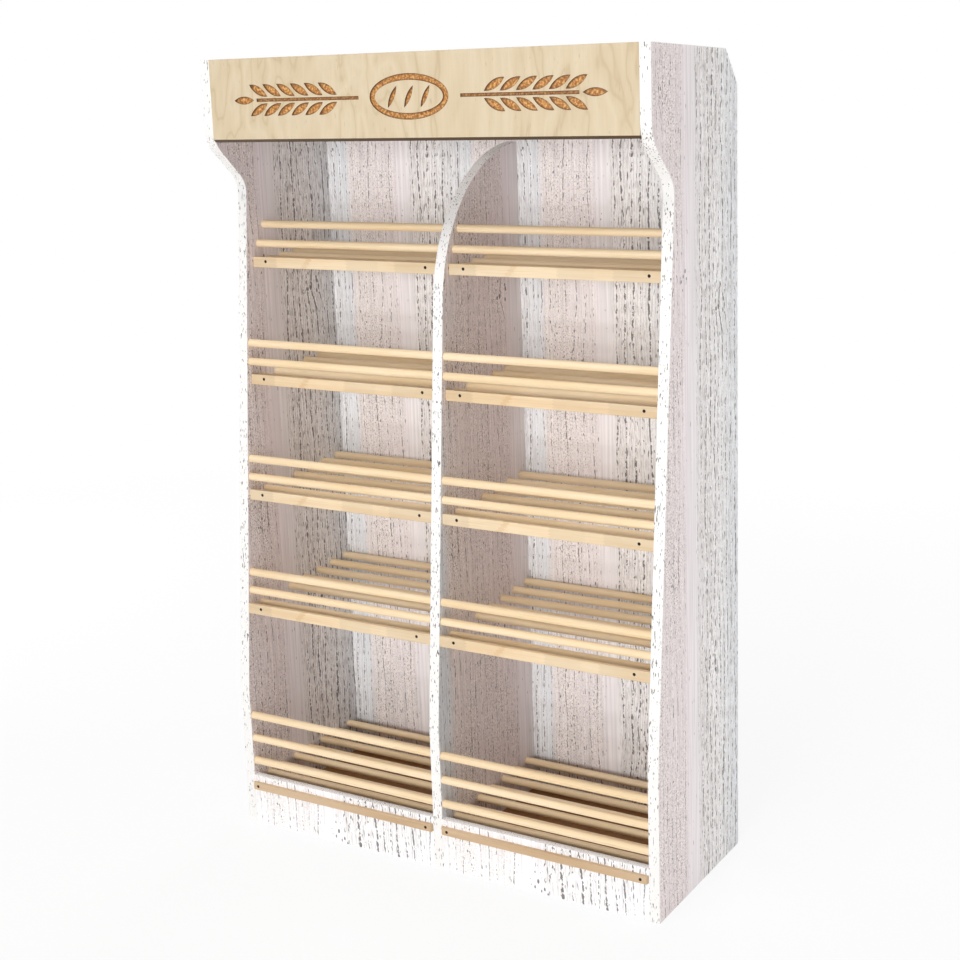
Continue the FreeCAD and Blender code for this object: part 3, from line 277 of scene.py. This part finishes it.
def pine(name, pale, warm, deep, joint_tones=()):
    """Varnished pine with its grain across the rack: a broad change of tone, and fine darker
    grain. joint_tones are the tones of a strip's glued lengths, from places along the bay."""
    material, tree, shader = new_material(name, 0.45)
    place = add_node(tree, "TexCoord", output="Object")
    split = add_node(tree, "SeparateXYZ", {0: place}).node.outputs

    # Grain lines about 2.5 mm apart and 150 mm long.
    grain_cells = add_node(tree, "Mapping", {0: place, "Scale": (6.5, 400, 400)})
    grain = add_node(tree, "TexNoise", {"Vector": grain_cells, "Scale": 1.0, "Detail": 3.0})
    broad_cells = add_node(tree, "Mapping", {0: place, "Scale": (2.4, 34, 34)})
    broad = add_node(tree, "TexNoise", {"Vector": broad_cells, "Scale": 1.0, "Detail": 2.0})
    warmth = add_node(tree, "MapRange", {0: broad, 1: 0.35, 2: 0.65})
    colour = add_node(tree, "Mix", {0: warmth, 6: linear(pale), 7: linear(warm)}, 2, data_type="RGBA")
    if joint_tones:
        # Finger joints: each length starts along a zigzag line.
        teeth = add_node(tree, "Math", {0: split["Z"], 1: 1 / HALF_TOOTH}, operation="MULTIPLY")
        zigzag = add_node(tree, "Math", {0: teeth, 1: 1.0}, operation="PINGPONG")
        start = add_node(tree, "Math", {0: zigzag, 1: TOOTH_LENGTH / BAY_STEP, 2: BAY_LEFT / BAY_STEP},
                         operation="MULTIPLY_ADD")
        turns = add_node(tree, "Math", {0: split["X"], 1: 1 / BAY_STEP, 2: start}, operation="MULTIPLY_ADD")
        along = add_node(tree, "Math", {0: turns}, operation="FRACT")
        tone = add_node(tree, "ValToRGB", {0: along}, stops=joint_tones)
        tone.node.color_ramp.interpolation = "CONSTANT"
        jointed = add_node(tree, "Mix", {0: 1.0, 6: colour, 7: tone}, 2, data_type="RGBA",
                           blend_type="MULTIPLY")
        # A knot's grain runs slantwise through the board near its left third.
        climb = add_node(tree, "Math", {0: split["Z"], 1: 1 / SHELF_PITCH, 2: BOARD_START},
                         operation="MULTIPLY_ADD")
        rise = add_node(tree, "Math", {0: climb}, operation="FRACT")
        slant = add_node(tree, "Math", {0: rise, 1: KNOT_SLANT, 2: along}, operation="MULTIPLY_ADD")
        at_knot = add_node(tree, "Math", {0: slant, 1: KNOT_PLACE, 2: KNOT_HALF_WIDTH}, operation="COMPARE")
        darkness = add_node(tree, "Math", {0: at_knot, 1: broad}, operation="MULTIPLY")
        colour = add_node(tree, "Mix", {0: darkness, 6: jointed, 7: linear(KNOT_BROWN)}, 2, data_type="RGBA")
    stripe = add_node(tree, "MapRange", {0: grain, 1: 0.5, 2: 0.72, 4: 0.3})
    grained = add_node(tree, "Mix", {0: stripe, 6: colour, 7: linear(deep)}, 2, data_type="RGBA")
    tree.links.new(grained, shader.inputs["Base Color"])
    bump = add_node(tree, "Bump", {"Strength": 0.12, "Distance": 0.0004, "Height": grain})
    tree.links.new(bump, shader.inputs["Normal"])
    return material


rod_pine = pine("varnished_pine_rods", "#EFD9B7", "#E6CBA2", "#CFA976")
for name in nodes:
    if name.startswith(("floor_rods", "lip_rods")):
        dress(rod_pine, name)

# ---------------------------------------------------------------- front boards
# Planed pine strips, 27 mm high and 10 mm thick, glued up from finger-jointed lengths of
# different tone, and screwed to the corner blocks behind them.
board_pine = pine("varnished_pine_boards", "#DFCAAA", "#D7BC96", "#C2A074",
                  [(0.0, 0.93), (0.13, 1.05), (0.31, 1.09), (0.50, 0.99), (0.66, 1.03), (0.74, 0.94)])
for name in nodes:
    if name.startswith("front_board_") and name != "front_board_screws":
        dress(board_pine, name)

# ---------------------------------------------------------------- plinth slats
# Pine slats, 20 mm high with rounded corners, screwed across the plinth boards. Their wood
# is a little darker and browner than the rods'.
slat_pine = pine("varnished_pine_slats", "#C9AE8D", "#BE9F7B", "#9E7C59")
dress(slat_pine, "plinth_slat_left", "plinth_slat_right")

# ---------------------------------------------------------------- blocks, cleats and dowels
# Blocks and cleats of unvarnished pine, and beech dowels, glued behind and under the
# boards, where they hardly show.
hidden_pine = pine("raw_pine_blocks", "#E0C7A0", "#D8BA8E", "#BE9866")
for name in nodes:
    if name.startswith(("corner_blocks", "bottom_cleats")) or name.endswith("dowels"):
        dress(hidden_pine, name)

# ---------------------------------------------------------------- bottom boards
# Brown plywood, 18 mm thick, that lies on cleats. It shows only as the dark floor between
# the rods of the bottom bin.
bottom_ply = pine("brown_plywood", "#9A6C3A", "#8A5C2E", "#64421F")
dress(bottom_ply, "bottom_board_left", "bottom_board_right")

# ---------------------------------------------------------------- sign board
# Birch plywood with a pale flame figure. The routed ornament is stained orange brown, with painted shade
# along its walls, and the bevel under the board is painted near black, its dark plies together with painted
# shade.
material, tree, shader = new_material("birch_plywood_sign", 0.5)
place = add_node(tree, "TexCoord", output="Object")
split = add_node(tree, "SeparateXYZ", {0: place}).node.outputs

# The figure: soft contours with fine rings beside them, fibres, and short dark flecks.
flame_cells = add_node(tree, "Mapping", {0: place, "Scale": (7.5, 1, 2.2), "Rotation": (0, 0.25, 0)})
flame = add_node(tree, "TexNoise", {"Vector": flame_cells, "Scale": 1.0, "Detail": 3.0, "Roughness": 0.55,
                                    "Distortion": 0.5})
contour = add_node(tree, "Math", {0: flame, 1: 13.0}, operation="MULTIPLY")
contour = add_node(tree, "Math", {0: contour, 1: 1.0}, operation="PINGPONG")
veneer = add_node(tree, "ValToRGB", {0: contour},
                  stops=[(0.0, "#BEAA8A"), (0.16, "#C8B697"), (0.6, "#CCBB9E"), (1.0, "#CFBFA3")])
fibre_cells = add_node(tree, "Mapping", {0: place, "Scale": (330, 1, 16)})
fibre = add_node(tree, "TexNoise", {"Vector": fibre_cells, "Scale": 1.0, "Detail": 3.0})
fibre_tone = add_node(tree, "MapRange", {0: fibre, 1: 0.3, 2: 0.7, 3: 0.965, 4: 1.025})
veneer = add_node(tree, "Mix", {0: 1.0, 6: veneer, 7: fibre_tone}, 2, data_type="RGBA", blend_type="MULTIPLY")
fleck_cells = add_node(tree, "Mapping", {0: place, "Scale": (210, 1, 48), "Rotation": (0, 0.4, 0)})
flecks = add_node(tree, "TexNoise", {"Vector": fleck_cells, "Scale": 1.0, "Detail": 1.0})
fleck = add_node(tree, "MapRange", {0: flecks, 1: 0.70, 2: 0.76, 4: 0.35})
veneer = add_node(tree, "Mix", {0: fleck, 6: veneer, 7: linear("#A98C66")}, 2, data_type="RGBA")

# The grooves: speckled stain, and painted shade close to their walls, darker where an occlusion test finds
# the walls near. A slack keeps the board's own face out of them.
low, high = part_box("sign_board")
SIGN_FACE = low[1]
BEVEL, GROOVE_DEPTH = 0.007, 0.003
ORNAMENT_REACH, ORNAMENT_MARGIN = 0.56, 0.02
WALL_SHADE_REACH = 0.010
SLACK = 0.0004
speckles = add_node(tree, "TexNoise", {"Vector": place, "Scale": 170.0, "Detail": 4.0})
stain = add_node(tree, "ValToRGB", {0: speckles},
                 stops=[(0.36, "#8A5424"), (0.50, "#BA7E3E"), (0.64, "#E4B36C")])
# Painted shade in the grooves: dark brown where the groove's own walls are close.
openness = add_node(tree, "AmbientOcclusion", {"Distance": WALL_SHADE_REACH}, "AO", samples=8, only_local=True)
painted_wall_shade = add_node(tree, "MapRange", {0: openness, 1: 0.93, 2: 0.70, 4: 0.85})
groove = add_node(tree, "Mix", {0: painted_wall_shade, 6: stain, 7: linear("#5A3215")}, 2, data_type="RGBA")
in_groove = 1.0
for axis, lowest, highest in (("X", -ORNAMENT_REACH, ORNAMENT_REACH),
                              ("Y", SIGN_FACE + SLACK, SIGN_FACE + GROOVE_DEPTH + SLACK),
                              ("Z", low[2] + ORNAMENT_MARGIN, high[2] - ORNAMENT_MARGIN)):
    within = add_node(tree, "Math", {0: split[axis], 1: (lowest + highest) / 2, 2: (highest - lowest) / 2},
                      operation="COMPARE")
    in_groove = add_node(tree, "Math", {0: in_groove, 1: within}, operation="MULTIPLY")
colour = add_node(tree, "Mix", {0: in_groove, 6: veneer, 7: groove}, 2, data_type="RGBA")

# The top edge shows the plies, 1.4 mm each. The bevel under the board is painted near black: its darker
# plies, and painted shade because it faces down.
PLY = 0.0014
plies = add_node(tree, "Math", {0: split["Y"], 1: PLY}, operation="PINGPONG")
ply = add_node(tree, "MapRange", {0: plies, 1: PLY * 0.4, 2: PLY * 0.6})
ply_colour = add_node(tree, "Mix", {0: ply, 6: linear("#D8C49C"), 7: linear("#A98556")}, 2, data_type="RGBA")
on_top = add_node(tree, "Math", {0: split["Z"], 1: high[2] - 0.0003}, operation="GREATER_THAN")
colour = add_node(tree, "Mix", {0: on_top, 6: colour, 7: ply_colour}, 2, data_type="RGBA")
# Painted shade with the dark plies: the downward bevel is painted near black.
on_bevel = add_node(tree, "Math", {0: split["Z"], 1: low[2] + BEVEL - 0.0002}, operation="LESS_THAN")
colour = add_node(tree, "Mix", {0: on_bevel, 6: colour, 7: linear("#4A3620")}, 2, data_type="RGBA")
tree.links.new(colour, shader.inputs["Base Color"])
dress(material, "sign_board")

# ---------------------------------------------------------------- screws
# Black phosphated wood screws with countersunk heads and a hexagon socket: dark, matt and
# finely mottled.
material, tree, shader = new_material("black_phosphated_steel", 0.6)
place = add_node(tree, "TexCoord", output="Object")
crystals = add_node(tree, "TexNoise", {"Vector": place, "Scale": 900.0, "Detail": 2.0})
colour = add_node(tree, "ValToRGB", {0: crystals}, stops=[(0.3, "#17130F"), (0.7, "#2A241E")])
tree.links.new(colour, shader.inputs["Base Color"])
shader.inputs["Specular IOR Level"].default_value = 0.2
for name in nodes:
    if name.endswith("screws"):
        dress(material, name)

# ---------------------------------------------------------------- floor and light
# A white floor that fades into a white surround, and soft light, mostly from the front.
bpy.ops.mesh.primitive_plane_add(size=80, location=(0, 0, 0))
floor = bpy.context.active_object
floor.name = "floor"
material, tree, shader = new_material("studio_floor", 0.9)
shader.inputs["Base Color"].default_value = linear("#F2F2F2")
place = add_node(tree, "TexCoord", output="Object")
reach = add_node(tree, "VectorMath", {0: place}, "Value", operation="LENGTH")
fade = add_node(tree, "MapRange", {0: reach, 1: 1.6, 2: 5.0, 3: 0.84, 4: 1.0})
rays = add_node(tree, "LightPath").node.outputs
mirrored = add_node(tree, "Math", {0: rays["Is Glossy Ray"], 1: rays["Is Transmission Ray"]},
                    operation="MAXIMUM")
seen = add_node(tree, "Math", {0: rays["Is Camera Ray"], 1: mirrored}, operation="MAXIMUM")
seen = add_node(tree, "Math", {0: seen, 1: fade}, operation="MULTIPLY")
white = add_node(tree, "Emission", {0: linear("#FFFFFF"), 1: 1.0})
blend = add_node(tree, "MixShader", {0: seen, 1: shader.outputs[0], 2: white})
tree.links.new(blend, tree.nodes["Material Output"].inputs["Surface"])
floor.data.materials.append(material)

world = bpy.data.worlds.new("studio")
bpy.context.scene.world = world
world.use_nodes = True
tree = world.node_tree
tree.nodes.clear()
rays = add_node(tree, "LightPath").node.outputs
mirrored = add_node(tree, "Math", {0: rays["Is Glossy Ray"], 1: rays["Is Transmission Ray"]},
                    operation="MAXIMUM")
seen = add_node(tree, "Math", {0: rays["Is Camera Ray"], 1: mirrored}, operation="MAXIMUM")
light = add_node(tree, "Background", {0: linear("#FFFFFF"), 1: 0.19})
white = add_node(tree, "Background", {0: linear("#FFFFFF"), 1: 1.0})
blend = add_node(tree, "MixShader", {0: seen, 1: light, 2: white})
add_node(tree, "OutputWorld", {0: blend})


def add_lamp(name, place, target, width, power):
    """A square soft box that looks at a point."""
    lamp = bpy.data.lights.new(name, "AREA")
    lamp.size = width
    lamp.energy = power
    holder = bpy.data.objects.new(name, lamp)
    bpy.context.collection.objects.link(holder)
    aim = Vector(target) - Vector(place)
    holder.rotation_euler = aim.to_track_quat("-Z", "Y").to_euler()
    holder.location = place


add_lamp("front_box", (0.8, -7.0, 1.6), (0, 0, 1.0), 2.6, 300)
add_lamp("top_box", (0.2, -2.2, 7.0), (0, 0, 0.5), 3.0, 190)
add_lamp("right_box", (4.5, 0.9, 1.6), (0.6, 0, 1.0), 2.0, 68)
add_lamp("left_box", (-4.5, 0.9, 1.6), (-0.6, 0, 1.0), 2.0, 68)
add_lamp("rear_box", (-0.8, 6.5, 2.2), (0, 0, 1.0), 2.6, 150)

# ---------------------------------------------------------------- camera
# It stands to the right of the rack, at the height of a standing person's eyes.
CAMERA_PLACE = Vector((2.0878, -3.0856, 1.8310))
CAMERA_PITCH = -0.19399
CAMERA_YAW = -0.48233
CAMERA_ROLL = -0.01391
FOCAL_PIXELS = 1505.1
IMAGE_PIXELS = 960
OPTICAL_MIDDLE = (640, 420)
SENSOR = 36.0

ahead = Vector((math.sin(CAMERA_YAW) * math.cos(CAMERA_PITCH), math.cos(CAMERA_YAW) * math.cos(CAMERA_PITCH),
                math.sin(CAMERA_PITCH)))
level = Vector((math.cos(CAMERA_YAW), -math.sin(CAMERA_YAW), 0))
upright = level.cross(ahead)
right = level * math.cos(CAMERA_ROLL) + upright * math.sin(CAMERA_ROLL)
over = upright * math.cos(CAMERA_ROLL) - level * math.sin(CAMERA_ROLL)
lens = bpy.data.cameras.new("camera")
lens.sensor_width = SENSOR
lens.lens = FOCAL_PIXELS / IMAGE_PIXELS * SENSOR
lens.shift_x = (IMAGE_PIXELS / 2 - OPTICAL_MIDDLE[0]) / IMAGE_PIXELS
lens.shift_y = (OPTICAL_MIDDLE[1] - IMAGE_PIXELS / 2) / IMAGE_PIXELS
camera = bpy.data.objects.new("camera", lens)
bpy.context.collection.objects.link(camera)
turn = Matrix((right, over, -ahead)).transposed().to_4x4()
camera.matrix_world = Matrix.Translation(CAMERA_PLACE) @ turn
bpy.context.scene.camera = camera
bpy.context.scene.view_settings.view_transform = "Standard"
